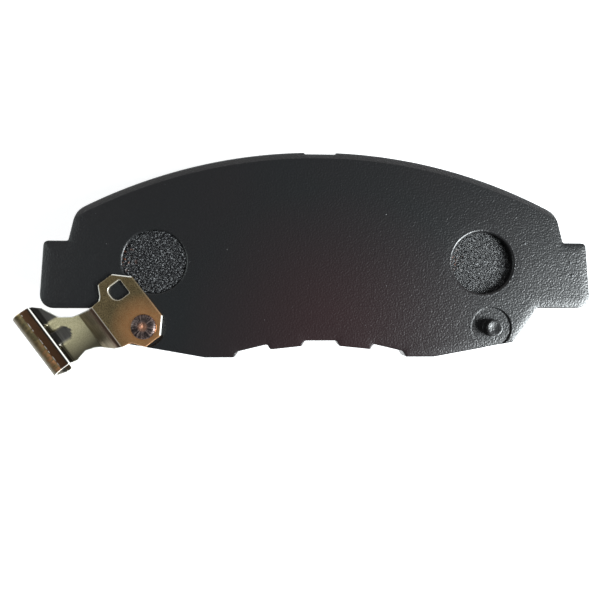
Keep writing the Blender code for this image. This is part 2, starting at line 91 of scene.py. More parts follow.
# Points of the plate's mesh
GRID = 0.75
GRID_MARGIN = 0.8  # of the grid round a recess
RINGS = (0.015, 0.06, 0.14, 0.25, 0.38, 0.48, 0.58, 0.7, 0.95, 1.3, 1.8, 2.6)  # off an edge
HOLE_RINGS = RINGS[:10]
CLOSEST = 0.012  # of a point to an edge
HOLE_FACETS = 120
ARC_SPAN = (58, 122.01, 0.2)  # degrees: first and last of the points along the bevel, and step
ARC_RINGS = (-0.06, 0.0, 0.06, 1.0)  # off the bevel's foot
STUD_RINGS = (0.5, 1.0, 1.3, 1.55, 1.75, 1.95, 2.08, 2.17, 2.22, 2.249, 2.27, 2.31, 2.38, 2.5)
STUD_FACETS = 72
RECESS_RINGS = (3.2, 4.0, 4.8)
RECESS_EDGE_RINGS = (-0.3, -0.14, -0.08, -0.03, 0.03, 0.08, 0.14, 0.3)  # off the recess's radius
RECESS_FACETS = 108
ROW_SPACING = 0.866  # of a staggered grid's rows, in steps

# Studs in their coined recesses, by side. The right one lies 0.4 lower than its mirror image
STUDS = {-1: np.array([-47.28, -19.9]), 1: np.array([47.15, -20.3])}
STUD_RADIUS = 2.25
STUD_HEIGHT = 2.1
STUD_DISH = (0.3, 1.85, 0.2)  # inner and outer radius of its slope, and depth
STUD_ROUND = 0.3
STUD_FILLET = (0.25, 0.2)  # width and height of the fillet at the stud's foot
RECESS_RADIUS = 5.55
RECESS_WALL = 0.12  # half width of the recess's sloping wall
RECESS_DEPTH = 0.42
HEAD_RADIUS = 3.35
HEAD_THICKNESS = 1.0
HEAD_DISH = (1.0, 0.3)
HEAD_RIPPLE = 0.05
HEAD_MIDDLE = 2.0  # height that its radial marks run out from

# Plugs of friction mix in the mould holes
PLUG_SINKS = {"left": 0.3, "right": 1.6}
PLUG_FINISH = {"left": (0.25, 0.42), "right": (0.6, 0.8)}  # specular level and depth of relief
PLUG_GRID = 0.2
PLUG_DEPTH = 3.0
PLUG_HOLLOW = 0.1  # of the mean surface below the sink
PLUG_SHOULDER = (0.7, 0.15)  # how wide and how deep the surface falls at the wall
PLUG_LAP = 0.02  # into the plate
CRUMB_HEIGHT = 0.42
CRUMB_WAVES = ((0.55, 0.95, 3.0), (0.45, 0.5, 7.0), (0.3, 3.0, 11.0))  # (share, length, seed)
RUST_RISE = 1.0  # of the rusty grains above the plug's middle line

# Layers under the plate
BLOCK_VOXEL = 0.4
MOULDED_ROUGHNESS = 0.12
GROUND_ROUGHNESS = 0.015
GROUND_BAND = 0.3  # above the friction face
BEAD_STEP = 0.6
BEAD_SPREAD = 0.12  # how far the adhesive stands out of the joint
BEAD_WAVES = ((0.16, 2.6, 5.0), (0.1, 0.9, 8.0))  # (height, length, seed)
BEAD_LAP = 0.02  # into the plate and the underlayer
BEAD_ROUND = 0.18
BEAD_RINGS = (0.1, 0.3)
BEAD_GRID = (3.0, 1.0)  # step and distance from the edge

# Wear indicator: a strip bent across its length. Its blank is drawn as (outwards from the first
# bend, along the bend, corner radius), and its path as (length, bend radius, turn in degrees)
SHEET = 0.8
SHEET_LIFT = 0.04  # above the plate's coating
SHEAR_ROUND = 0.2
FIRST_BEND = np.array([-60.87, -14.53])
OUTWARDS = np.array([-0.8, -0.6])
ALONG = np.array([0.6, -0.8])
STAKE = (-7.65, 12.45)
STAKE_HOLE_RADIUS = 2.4
STRIP_PATH = (
    (0.0, 1.6, -40),
    (5.3, 0.0, 0),
    (0.0, 1.2, 40),
    (7.75, 0.0, 0),
    (0.0, 0.9, 90),
    (0.7, 0.0, 0),
    (0.0, 0.6, -90),
    (1.5, 0.0, 0),
    (0.0, 4.1, -96),
    (2.9, 0.0, 0),
    (0.0, 1.2, -72),
    (1.1, 0.0, 0),
)
STRIP_LENGTH = sum(length or radius * radians(abs(turn)) for length, radius, turn in STRIP_PATH)
BLANK = (
    (0.0, 0.0, 0.0),
    (-2.2, -0.15, 0.8),
    (-3.1, -1.0, 1.0),
    (-4.55, -3.8, 0.8),
    (-9.3, -3.9, 0.8),
    (-13.1, -0.25, 0.8),
    (-13.3, 13.0, 0.8),
    (-9.75, 17.0, 0.8),
    (-4.8, 17.05, 0.8),
    (-2.55, 13.9, 1.5),
    (0.0, 13.4, 0.4),
    (2.7, 12.4, 0.8),
    (8.8, 8.6, 2.0),
    (11.2, 7.8, 1.0),
    (13.9, 8.4, 0.8),
    (16.3, 8.2, 0.8),
    (STRIP_LENGTH, 8.2, 0.5),
    (STRIP_LENGTH, -11.4, 0.5),
    (16.2, -10.4, 0.8),
    (13.9, -8.6, 1.0),
    (11.6, -4.3, 1.5),
    (8.6, -2.1, 1.5),
    (1.3, -0.1, 0.8),
)
KEY_HOLE = (
    (-10.05, -1.55, 0.4),
    (-10.05, 2.95, 0.4),
    (-5.5, 2.95, 2.1),
    (-5.5, -1.55, 1.6),
)
STRIP_GRID = 0.45
STRIP_START = -13.0
STRIP_SIDES = (-11.0, 18.0)
BEND_STEP = 7  # degrees of a bend between two lines of points
OUTLINE_POINTS = 0.3
KEY_POINTS = 0.25
STAKE_FACETS = 60
STRIP_RINGS = (0.02, 0.06, 0.12, 0.2, 0.3, 0.42)
# A rib with a round nose across the corner at the wall's foot, and one beyond the edge line
GUSSET = {"nose": 11.1, "top": 16.75, "middle": 0.45, "half_width": 2.4, "flank": 0.55}
FACET = {"foot": 11.9, "top": 16.75, "edge": -4.1, "flank": 0.5}
RIM_HIGHLIGHT_BAND = (0.12, 0.42)  # the sheared edge's painted highlight band ends between these distances
# least share of the rims' painted highlight
RIM_HIGHLIGHT_MIN = 0.1
BEND_HIGHLIGHT = (0.06, 0.18)  # painted highlight lines across the strip, from and to, past the first bend
# painted highlight along the ridge, and painted highlight dashes along the crest, from and to, past the
# first bend
RIDGE_HIGHLIGHT = (17.46, 17.68)
CREST_HIGHLIGHT = (19.68, 19.82)
ZONES = {  # where the strip's colours change, past the first bend
    "slope": 0.15,
    "arm": 6.75,
    "foot": 15.0,
    "wall": 16.1,
    "crest": 17.9,
    "hook": 19.9,
    "leg": 26.5,
}
HOOK_START = STRIP_LENGTH - 12.0
HOOK_RIPPLE = 0.045
RIPPLE_FADE = (0.8, 3.0, 5.0)  # past the hook's start: full height, start and end of its fading
RIPPLE_SCALE = (0.5, 1.6)  # along and across the strip

# Stage and camera, in millimetres
FLOOR_GAP = 0.04
FLOOR_REACH = 6000.0
LIGHTS = (  # name, place, target, size, power, colour
    ("window", (440, -140, 275), (20, 0, 0), (250, 270), 8.4, (0.92, 0.98, 1.0)),
    ("left_fill", (-450, 60, 175), (-40, 0, 0), (200, 420), 0.5, (0.9, 1.0, 1.0)),
    ("far_panel", (0, 430, 200), (0, 0, 0), (1300, 260), 0.6, (1.0, 0.96, 0.96)),
)
CAMERA_AT = (-9.99, -16.10, 122.08)
CAMERA_TURN = (1.5889, -2.0556, -0.0318)  # degrees about X, Y and Z, from straight down
CAMERA_LENS = 27.0


# ------------------------------------------------------------------ outlines


def rounded(corners, step=radians(9)):
    """Points of a closed outline whose corners (x, y, radius) are rounded by arcs."""
    points = []
    for i, (x, y, radius) in enumerate(corners):
        here = Vector((x, y))
        before = Vector(corners[i - 1][:2])
        after = Vector(corners[(i + 1) % len(corners)][:2])
        into, out = (here - before).normalized(), (after - here).normalized()
        turn = into.angle_signed(out) * -1
        if radius == 0 or abs(turn) < radians(1):
            points.append(here)
            continue
        tangent = radius * np.tan(abs(turn) / 2)
        start = here - into * tangent
        side = Vector((-into.y, into.x)) * (1 if turn > 0 else -1)
        centre = start + side * radius
        steps = max(2, ceil(abs(turn) / step))
        for k in range(steps + 1):
            points.append(centre + Matrix.Rotation(turn * k / steps, 2) @ (start - centre))
    return np.array([tuple(point) for point in points])


def circle(centre, radius, facets=HOLE_FACETS):
    """Points round a circle."""
    turns = 2 * pi * np.arange(facets) / facets
    return np.column_stack([centre[0] + radius * np.cos(turns), centre[1] + radius * np.sin(turns)])


def resampled(loop, step):
    """The same closed outline with a point at least every step."""
    points = []
    for here, there in zip(loop, np.roll(loop, -1, axis=0)):
        pieces = max(1, ceil(np.linalg.norm(there - here) / step))
        for k in range(pieces):
            points.append(here + (there - here) * k / pieces)
    return np.array(points)


def softened(loop):
    """The outline with its corners softened."""
    return (np.roll(loop, 1, axis=0) + 2 * loop + np.roll(loop, -1, axis=0)) / 4


def area(loop):
    """Signed area, positive for an anticlockwise outline."""
    ahead = np.roll(loop, -1, axis=0)
    return 0.5 * np.sum(loop[:, 0] * ahead[:, 1] - ahead[:, 0] * loop[:, 1])


def cad_section(node, height):
    """The closed outlines of a CAD node at one height, longest first."""
    edit = bmesh.new()
    edit.from_mesh(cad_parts[node].data)
    bmesh.ops.remove_doubles(edit, verts=edit.verts, dist=0.001 * MM)
    everything = edit.verts[:] + edit.edges[:] + edit.faces[:]
    cut = bmesh.ops.bisect_plane(
        edit, geom=everything, plane_co=(0, 0, height * MM), plane_no=(0, 0, 1)
    )
    joined = {}
    for item in cut["geom_cut"]:
        if isinstance(item, bmesh.types.BMEdge):
            here, there = item.verts
            joined.setdefault(here, []).append(there)
            joined.setdefault(there, []).append(here)
    loops = []
    while joined:
        here = next(iter(joined))
        loop = []
        while here:
            loop.append([c / MM for c in here.co[:2]])
            here = next((there for there in joined.pop(here) if there in joined), None)
        loops.append(np.array(loop))
    edit.free()
    loops.sort(key=lambda points: -abs(area(points)))
    return [loop if area(loop) > 0 else loop[::-1] for loop in loops]


def edge_distance(points, loops):
    """Each point's distance to the nearest of some closed outlines."""
    best = np.full(len(points), 1e9)
    for loop in loops:
        starts, ends = loop, np.roll(loop, -1, axis=0)
        runs = ends - starts
        squares = np.maximum((runs**2).sum(1), 1e-12)
        for first in range(0, len(points), 2000):
            some = points[first : first + 2000, None, :] - starts[None]
            share = np.clip((some * runs).sum(2) / squares, 0, 1)
            gaps = np.linalg.norm(some - share[..., None] * runs, axis=2).min(1)
            best[first : first + 2000] = np.minimum(best[first : first + 2000], gaps)
    return best


def inside(points, loops):
    """Whether each point is inside the outer outline and outside the holes."""
    crossings = np.zeros(len(points), int)
    for loop in loops:
        ends = np.roll(loop, -1, axis=0)
        for (x0, y0), (x1, y1) in zip(loop, ends):
            if y0 == y1:
                continue
            spans = (points[:, 1] > min(y0, y1)) & (points[:, 1] <= max(y0, y1))
            at = x0 + (points[:, 1] - y0) * (x1 - x0) / (y1 - y0)
            crossings += spans & (at > points[:, 0])
    return crossings % 2 == 1


def ring_points(loop, depths, loops):
    """Copies of an outline moved inwards, without the points that come near another edge."""
    ahead = np.roll(loop, -1, axis=0) - np.roll(loop, 1, axis=0)
    ahead /= np.maximum(np.linalg.norm(ahead, axis=1, keepdims=True), 1e-9)
    inward = np.column_stack([-ahead[:, 1], ahead[:, 0]])
    kept = []
    for depth in depths:
        moved = loop + inward * depth
        if depth > 1:
            moved = moved[::2]
        far = edge_distance(moved, loops) > depth * 0.93
        kept.append(moved[far])
    return np.vstack(kept)


def hex_points(low, high, step):
    """A staggered grid over a rectangle."""
    columns = np.arange(low[0], high[0], step)
    points = []
    for k, y in enumerate(np.arange(low[1], high[1], step * ROW_SPACING)):
        points.append(np.column_stack([columns + (k % 2) * step / 2, np.full(len(columns), y)]))
    return np.vstack(points)


def triangulated(loops, extra):
    """Triangles inside the outlines, through their points and the extra ones."""
    points = np.vstack([*loops, extra])
    edges, first = [], 0
    for loop in loops:
        count = len(loop)
        edges += [(first + k, first + (k + 1) % count) for k in range(count)]
        first += count
    made = delaunay_2d_cdt([Vector(point) for point in points], edges, [], 0, 1e-5)
    flat = np.array([tuple(vert) for vert in made[0]])
    faces = np.array(made[2])
    faces = faces[inside(flat[faces].mean(1), loops)]
    a, b, c = flat[faces[:, 0]], flat[faces[:, 1]], flat[faces[:, 2]]
    turned = (b[:, 0] - a[:, 0]) * (c[:, 1] - a[:, 1]) - (b[:, 1] - a[:, 1]) * (c[:, 0] - a[:, 0]) < 0
    faces[turned] = faces[turned][:, ::-1]
    used, places = np.unique(faces, return_inverse=True)
    return flat[used], places.reshape(faces.shape)


# ------------------------------------------------------------------ meshes


def add_piece(name, points, faces, material, sharp=35):
    """A mesh object made of points in millimetres, which rides on the pad."""
    mesh = bpy.data.meshes.new(name)
    mesh.from_pydata([tuple(point * MM) for point in points], [], faces)
    mesh.update()
    piece = bpy.data.objects.new(name, mesh)
    bpy.context.scene.collection.objects.link(piece)
    mesh.materials.append(material)
    mesh.shade_smooth()
    mesh.set_sharp_from_angle(angle=radians(sharp))
    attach(piece, "root")
    return piece


def shell(name, faces, top, bottom, material, sharp=35):
    """A closed piece between an upper and a lower side that share their triangles."""
    count = len(top)
    once = {}
    for face in faces:
        for a, b in zip(face, np.roll(face, -1)):
            if (b, a) in once:
                del once[(b, a)]
            else:
                once[(a, b)] = True
    made = [tuple(map(int, face)) for face in faces]
    made += [tuple(int(k) + count for k in face[::-1]) for face in faces]
    made += [(int(a), int(a) + count, int(b) + count, int(b)) for a, b in once]
    return add_piece(name, np.vstack([top, bottom]), made, material, sharp)


def attribute(piece, name, values):
    """A number on each point of a shell, the same on its upper and lower side."""
    made = piece.data.attributes.new(name, "FLOAT", "POINT")
    made.data.foreach_set("value", np.concatenate([values, values]).astype(np.float32))


def quarter_round(gap, radius):
    """How far a rounded edge falls at a distance from the edge."""
    inner = np.clip(gap, 0, radius)
    return radius - np.sqrt(np.maximum(radius**2 - (radius - inner) ** 2, 0))


def rolled(gap, roll):
    """How far a stamped edge rolls down at a distance from the edge."""
    depth, width = roll
    return depth * (1 - np.clip(gap / width, 0, 1)) ** ROLL_POWER


def smooth_step(value, low, high):
    """0 below low, 1 above high, and a smooth ramp between."""
    share = np.clip((value - low) / (high - low), 0, 1)
    return share * share * (3 - 2 * share)


def waves(points, length, seed=0.0):
    """Smooth noise between about -1 and 1 at each point."""
    return np.array([noise.noise(Vector((x / length, y / length, seed))) for x, y in points[:, :2]])


def layered_waves(points, layers):
    """Waves of several (height, length, seed) laid over each other."""
    return sum(height * waves(points, length, seed) for height, length, seed in layers)


def lathe(name, profile, centre, material, facets=72, ripple=0.0, sharp=40):
    """A profile of (radius, height), listed from the axis outwards and down, turned round."""
    points = [np.array([centre[0], centre[1], profile[0][1]])]
    for radius, height in profile[1:-1]:
        for k in range(facets):
            turn = 2 * pi * k / facets
            rough = ripple * noise.noise(Vector((radius, 9 * cos(turn), 9 * sin(turn))))
            x, y = centre[0] + radius * cos(turn), centre[1] + radius * sin(turn)
            points.append(np.array([x, y, height + rough]))
    points.append(np.array([centre[0], centre[1], profile[-1][1]]))
    faces = [(0, 1 + k, 1 + (k + 1) % facets) for k in range(facets)]
    for ring in range(len(profile) - 3):
        inner, outer = 1 + ring * facets, 1 + (ring + 1) * facets
        for k in range(facets):
            ahead = (k + 1) % facets
            faces.append((inner + k, outer + k, outer + ahead, inner + ahead))
    last = 1 + (len(profile) - 3) * facets
    faces += [(last + (k + 1) % facets, last + k, len(points) - 1) for k in range(facets)]
    return add_piece(name, np.array(points), faces, material, sharp)


# ------------------------------------------------------------------ materials


class Shader:
    """A Principled material, with short ways to add and link nodes."""

    def __init__(self, name, roughness, metallic=0.0, **constants):
        self.material = bpy.data.materials.new(name)
        self.material.use_nodes = True
        self.tree = self.material.node_tree
        self.out = self.tree.nodes["Principled BSDF"]
        self.set(self.out, {"Roughness": roughness, "Metallic": metallic, **constants})
        place = self.tree.nodes.new("ShaderNodeTexCoord")
        self.place = place.outputs["Object"]

    def set(self, node, values):
        """Links or sets a node's inputs."""
        for key, value in values.items():
            socket = node.inputs[key]
            if isinstance(value, bpy.types.NodeSocket):
                self.tree.links.new(value, socket)
            else:
                socket.default_value = value

    def node(self, kind, values=(), **options):
        """A new node with its inputs and options."""
        made = self.tree.nodes.new("ShaderNode" + kind)
        for key, value in options.items():
            setattr(made, key, value)
        self.set(made, dict(values))
        return made

    def noise(self, size, detail=2.0, roughness=0.5):
        """Noise whose features are about a size in millimetres."""
        values = {"Vector": self.place, "Scale": 1 / (size * MM), "Detail": detail, "Roughness": roughness}
        return self.node("TexNoise", values).outputs["Fac"]

    def streaks(self, x, y, scale, detail):
        """Noise over a pair of values, for marks that are long one way."""
        place = self.node("CombineXYZ", {"X": x, "Y": y}).outputs[0]
        return self.node("TexNoise", {"Vector": place, "Scale": scale, "Detail": detail}).outputs["Fac"]

    def cells(self, size, place=None):
        """Distance to the nearest of scattered points, in shares of a size in millimetres."""
        values = {"Vector": place or self.place, "Scale": 1 / (size * MM)}
        return self.node("TexVoronoi", values).outputs["Distance"]

    def dots(self, distance, core, rim):
        """1 within a distance, and 0 past a larger one."""
        return self.ramp(distance, (0.0, 1.0), (core, 1.0), (rim, 0.0))

    def ramp(self, value, *stops):
        """Maps a value through (position, colour or grey) stops."""
        made = self.node("ValToRGB", {"Fac": value})
        row = made.color_ramp.elements
        while len(row) < len(stops):
            row.new(0.5)
        for stop, (position, colour) in zip(row, stops):
            stop.position = position
            stop.color = (colour,) * 3 + (1,) if isinstance(colour, (int, float)) else (*colour, 1)
        return made.outputs["Color"]

    def mix(self, share, first, second):
        """The first colour where share is 0, the second where it is 1."""
        made = self.node("Mix", data_type="RGBA")
        for key, value in ((0, share), (6, first), (7, second)):
            if isinstance(value, bpy.types.NodeSocket):
                self.tree.links.new(value, made.inputs[key])
            else:
                made.inputs[key].default_value = value if key == 0 else (*value, 1)
        return made.outputs[2]

    def maths(self, operation, first, second):
        """A sum, product or other result of two values."""
        made = self.node("Math", operation=operation)
        for key, value in ((0, first), (1, second)):
            if isinstance(value, bpy.types.NodeSocket):
                self.tree.links.new(value, made.inputs[key])
            else:
                made.inputs[key].default_value = value
        return made.outputs[0]

    def attribute(self, name):
        """A number that the mesh keeps on its points."""
        return self.node("Attribute", attribute_name=name).outputs["Fac"]

    def step(self, value, place, blur=0.12):
        """0 before a place, 1 after it."""
        return self.span(value, place - blur, place + blur)

    def band(self, value, low, high, blur=0.08):
        """1 between two places."""
        rise = self.span(value, low - blur, low + blur)
        return self.maths("MULTIPLY", rise, self.span(value, high + blur, high - blur))

    def span(self, value, low, high):
        """0 to 1 as a value goes from low to high."""
        return self.node("MapRange", {"Value": value, "From Min": low, "From Max": high}).outputs["Result"]

    def between(self, value, low, high):
        """low to high as a value goes from 0 to 1."""
        return self.node("MapRange", {"Value": value, "To Min": low, "To Max": high}).outputs["Result"]

    def offset(self, point):
        """The way from a point in millimetres, in metres."""
        spot = self.node("VectorMath", {0: self.place}, operation="SUBTRACT")
        spot.inputs[1].default_value = [c * MM for c in point]
        return spot.outputs[0]

    def distance(self, point):
        """Distance from a point in millimetres."""
        length = self.node("VectorMath", {0: self.offset(point)}, operation="LENGTH")
        return self.maths("DIVIDE", length.outputs["Value"], MM)

    def bump(self, height, depth, under=None):
        """A bump of a depth in millimetres for a height of 0 to 1."""
        values = {"Height": height, "Distance": depth * MM}
        if under:
            values["Normal"] = under
        return self.node("Bump", values).outputs["Normal"]


def powder_coat():
    """Satin black powder coat: strong fine grain, slow waves, dust specks and rare pits."""
    coat = Shader("black_powder_coat", 0.4, **{"Specular IOR Level": 0.5})
    grain = coat.noise(0.5, 1.0, 0.5)
    swell = coat.noise(2.2, 1.0)
    dust = coat.dots(coat.cells(4.2), 0.016, 0.026)
    pit = coat.dots(coat.cells(9.5), 0.018, 0.03)
    for x, y in PITS:
        pit = coat.maths("MAXIMUM", pit, coat.dots(coat.distance((x, y, 0.0)), 0.26, 0.36))
        fleck = coat.distance((x + PIT_FLECK[0], y + PIT_FLECK[1], 0.0))
        dust = coat.maths("MAXIMUM", dust, coat.span(fleck, 0.3, 0.16))
    tone = coat.mix(coat.noise(30, 1.0), (0.0075, 0.0095, 0.0102), (0.0112, 0.0092, 0.0098))
    ruddy = coat.span(coat.distance(RUDDY_AT), 42.0, 8.0)
    tone = coat.mix(ruddy, tone, (0.0185, 0.0085, 0.0095))
    tone = coat.mix(coat.maths("MULTIPLY", dust, 0.5), tone, (0.32, 0.33, 0.34))
    tone = coat.mix(pit, tone, (0.002, 0.002, 0.002))
    shine = coat.maths("MAXIMUM", coat.between(grain, 0.28, 0.38), pit)
    normal = coat.bump(swell, 0.03)
    normal = coat.bump(grain, 0.085, under=normal)
    normal = coat.bump(coat.maths("SUBTRACT", dust, pit), 0.08, under=normal)
    coat.set(coat.out, {"Base Color": tone, "Roughness": shine, "Normal": normal})
    return coat.material


def plug_mix(rust_centre, gloss, relief):
    """Coated, crumbly friction mix in a mould hole, its crumbs' tops painted pale as painted highlights,
    with a few rusty grains at one side.
    """
    mix = Shader("plug_mix", 0.3, **{"Specular IOR Level": gloss})
    crumb = mix.noise(0.4, 3.0, 0.6)
    dark, middle, pale = (0.003, 0.003, 0.004), (0.012, 0.012, 0.013), (0.22, 0.225, 0.23)
    # the pale stop follows the bump noise: a painted highlight on each crumb's top
    tone = mix.ramp(crumb, (0.45, dark), (0.56, middle), (0.68, pale))
    near = mix.span(mix.distance(rust_centre), 4.5, 0.5)
    rust = mix.ramp(mix.noise(0.8, 2.0), (0.6, 0.0), (0.66, 1.0))
    tone = mix.mix(mix.maths("MULTIPLY", near, rust), tone, (0.16, 0.05, 0.02))
    mix.set(mix.out, {"Base Color": tone, "Normal": mix.bump(crumb, relief)})
    return mix.material


def layer_mix():
    """The underlayer: dark moulded mix with pale fibres."""
    mix = Shader("underlayer_mix", 0.85)
    grain = mix.noise(0.5, 4.0, 0.65)
    tone = mix.ramp(grain, (0.3, (0.022, 0.02, 0.018)), (0.7, (0.075, 0.066, 0.056)))
    flake = mix.dots(mix.cells(1.6), 0.08, 0.12)
    tone = mix.mix(flake, tone, (0.22, 0.2, 0.17))
    mix.set(mix.out, {"Base Color": tone, "Normal": mix.bump(grain, 0.12)})
    return mix.material


def lining_mix():
    """Friction mix: grey matrix with rubber and graphite grains and bright metal flecks."""
    mix = Shader("lining_mix", 0.8)
    grain = mix.noise(0.6, 4.0, 0.6)
    dark, middle, pale = (0.035, 0.032, 0.03), (0.085, 0.078, 0.07), (0.14, 0.125, 0.11)
    tone = mix.ramp(grain, (0.3, dark), (0.55, middle), (0.75, pale))
    rubber = mix.dots(mix.cells(1.9), 0.16, 0.24)
    tone = mix.mix(rubber, tone, (0.014, 0.013, 0.013))
    stretched = mix.node("Mapping", {"Vector": mix.place, "Scale": (1.0, 0.35, 1.0)}).outputs[0]
    fleck = mix.dots(mix.cells(1.3, stretched), 0.09, 0.13)
    copper = mix.ramp(mix.noise(3.0, 1.0), (0.5, (0.5, 0.46, 0.4)), (0.6, (0.55, 0.3, 0.14)))
    tone = mix.mix(fleck, tone, copper)
    shine = mix.between(fleck, 0.85, 0.35)
    metal = mix.maths("MULTIPLY", fleck, 0.8)
    normal = mix.bump(mix.maths("ADD", grain, mix.maths("MULTIPLY", fleck, 0.4)), 0.09)
    mix.set(mix.out, {"Base Color": tone, "Roughness": shine, "Metallic": metal, "Normal": normal})
    return mix.material


def resin():
    """Cured adhesive squeezed out between plate and underlayer."""
    glue = Shader("cured_resin", 0.35)
    clump = glue.noise(1.2, 3.0)
    tone = glue.ramp(clump, (0.3, (0.05, 0.022, 0.009)), (0.7, (0.17, 0.085, 0.035)))
    glue.set(glue.out, {"Base Color": tone, "Normal": glue.bump(clump, 0.15)})
    return glue.material


def strip_place(along_path, along_bend):
    """The pad's x and y of a point of the indicator's flat base."""
    return FIRST_BEND + OUTWARDS * along_path + ALONG * along_bend


def zinc_tones(zinc, along, across, grit):
    """The plating's colour in each zone of the strip, from the base to the end of the hook. Past the base,
    the zones' tones are mostly painted reflection and shade.
    """
    x, y = strip_place(*STAKE)
    near_stake = zinc.span(zinc.distance((x, y, SHEET)), 9.2, 4.2)
    olive = zinc.mix(grit, (0.21, 0.155, 0.08), (0.49, 0.365, 0.185))
    rose = zinc.mix(grit, (0.93, 0.42, 0.17), (1.0, 0.56, 0.25))
    # the arm's pale tone is painted reflection of the light above it, darkened across towards its lower
    # side as painted shade
    arm_painted_sheen = zinc.mix(grit, (0.50, 0.44, 0.26), (0.68, 0.61, 0.38))
    arm_painted_sheen = zinc.mix(zinc.span(across, 1.0, 7.6), arm_painted_sheen, (0.09, 0.078, 0.05))
    streak = zinc.streaks(along, zinc.maths("MULTIPLY", across, 0.1), 1.6, 3.0)
    # the slope is painted darker than the base, and browner near the first bend, as painted reflection
    slope = zinc.mix(streak, (0.13, 0.105, 0.07), (0.5, 0.42, 0.3))
    slope = zinc.mix(zinc.span(along, 2.6, 0.6), slope, (0.16, 0.10, 0.07))
    hook = zinc.mix(zinc.span(across, -2.0, 3.0), (0.27, 0.22, 0.115), (0.95, 0.46, 0.21))
    ripple = zinc.streaks(zinc.maths("MULTIPLY", along, 0.4), across, 1.3, 2.0)
    # lighter where the ripple noise is high, as painted highlights on the ripple marks
    hook = zinc.mix(zinc.span(ripple, 0.42, 0.62), hook, (0.5, 0.36, 0.17))
    # darker from partway round the curl on, as painted shade where it turns away
    hook = zinc.mix(zinc.span(along, 20.4, 22.0), hook, (0.10, 0.08, 0.042))
    hook = zinc.mix(zinc.step(along, ZONES["leg"]), hook, (0.16, 0.15, 0.125))
    tone = zinc.mix(near_stake, olive, rose)
    tone = zinc.mix(zinc.step(along, ZONES["slope"]), tone, slope)
    tone = zinc.mix(zinc.step(along, ZONES["arm"]), tone, arm_painted_sheen)
    # the foot, wall and crest are painted dark, as painted shade and painted reflection of the black plate
    tone = zinc.mix(zinc.step(along, ZONES["foot"], 0.4), tone, (0.1, 0.09, 0.06))
    tone = zinc.mix(zinc.step(along, ZONES["wall"]), tone, (0.055, 0.05, 0.045))
    tone = zinc.mix(zinc.step(along, ZONES["crest"]), tone, (0.17, 0.085, 0.045))
    tone = zinc.mix(zinc.step(along, ZONES["hook"]), tone, hook)
    # the ribs (gusset and facet) are painted dark, as painted reflection of the black plate
    shade = zinc.mix(streak, (0.030, 0.028, 0.026), (0.12, 0.112, 0.10))
    return zinc.mix(zinc.attribute("dark"), tone, shade), ripple


def painted_highlights(zinc, along, ripple):
    """Where highlights are painted on, near white: the sheared rims, the ridge, and two bends in part."""
    highlight_dashes = zinc.maths("MULTIPLY", zinc.span(ripple, 0.45, 0.55), 0.7)
    bright = zinc.maths("MAXIMUM", zinc.attribute("rim"), zinc.band(along, *RIDGE_HIGHLIGHT))
    for line, share in ((BEND_HIGHLIGHT, 0.6), (CREST_HIGHLIGHT, highlight_dashes)):
        highlight_line = zinc.maths("MULTIPLY", zinc.band(along, *line), share)
        bright = zinc.maths("MAXIMUM", bright, highlight_line)
    return bright


def yellow_zinc():
    """Yellow-passivated zinc: olive on the base, coppery round the stake and on the hook's far
    end, painted dark in the bends and the gusset as painted shade and reflection, and painted highlights
    along the ridge and sheared rims."""
    zinc = Shader("yellow_zinc", 0.3, 1.0)
    along, across = zinc.attribute("along"), zinc.attribute("across")
    speck = zinc.noise(0.3, 2.0, 0.7)
    tone, ripple = zinc_tones(zinc, along, across, zinc.span(speck, 0.36, 0.64))
    bright = painted_highlights(zinc, along, ripple)
    # painted highlights: the metal turns near white where the highlight masks are set
    tone = zinc.mix(bright, tone, (0.86, 0.84, 0.78))
    shine = zinc.between(zinc.noise(1.4, 4.0, 0.6), 0.25, 0.42)
    soft = zinc.maths("MULTIPLY", zinc.band(along, ZONES["arm"], ZONES["foot"]), 0.4)
    metal = zinc.maths("SUBTRACT", 1.0, zinc.maths("MAXIMUM", soft, zinc.maths("MULTIPLY", bright, 0.85)))
    normal = zinc.bump(speck, 0.01)
    normal = zinc.bump(zinc.noise(2.2, 2.0), 0.03, under=normal)
    zinc.set(zinc.out, {"Base Color": tone, "Metallic": metal, "Roughness": shine, "Normal": normal})
    return zinc.material


def spun_steel():
    """The spun head: dark steel with radial marks and a coppery centre."""
    steel = Shader("spun_steel", 0.35, 0.7)
    centre = (*STUDS[-1], HEAD_MIDDLE)
    turn = steel.node("VectorMath", {0: steel.offset(centre)}, operation="NORMALIZE").outputs[0]
    ray = steel.node("TexNoise", {"Vector": turn, "Scale": 7.0, "Detail": 3.0}).outputs["Fac"]
    ray = steel.maths("MULTIPLY", ray, 0.6)
    mark = steel.maths("ADD", ray, steel.maths("MULTIPLY", steel.noise(0.5, 3.0, 0.7), 0.4))
    dark, middle, pale = (0.024, 0.017, 0.017), (0.085, 0.06, 0.056), (0.27, 0.2, 0.18)
    tone = steel.ramp(mark, (0.42, dark), (0.52, middle), (0.62, pale))
    tone = steel.mix(steel.span(steel.distance(centre), 1.5, 0.3), tone, (0.42, 0.19, 0.11))
    steel.set(steel.out, {"Base Color": tone, "Normal": steel.bump(mark, 0.12)})
    return steel.material


# ------------------------------------------------------------------ backing plate


def plate_outlines():
    """The plate's outline, softened, and its two mould holes by side, as (centre, radius)."""
    outer, *holes = cad_section("backing_plate", PLATE_UNDERSIDE / 2)
    outer = softened(resampled(outer, OUTLINE_STEP))
    rounds = []
    for hole in holes[:2]:
        centre = hole.mean(0)
        rounds.append((centre, np.linalg.norm(hole - centre, axis=1).max()))
    rounds.sort(key=lambda item: item[0][0])
    return outer, dict(zip(("left", "right"), rounds))


OUTER, HOLES = plate_outlines()


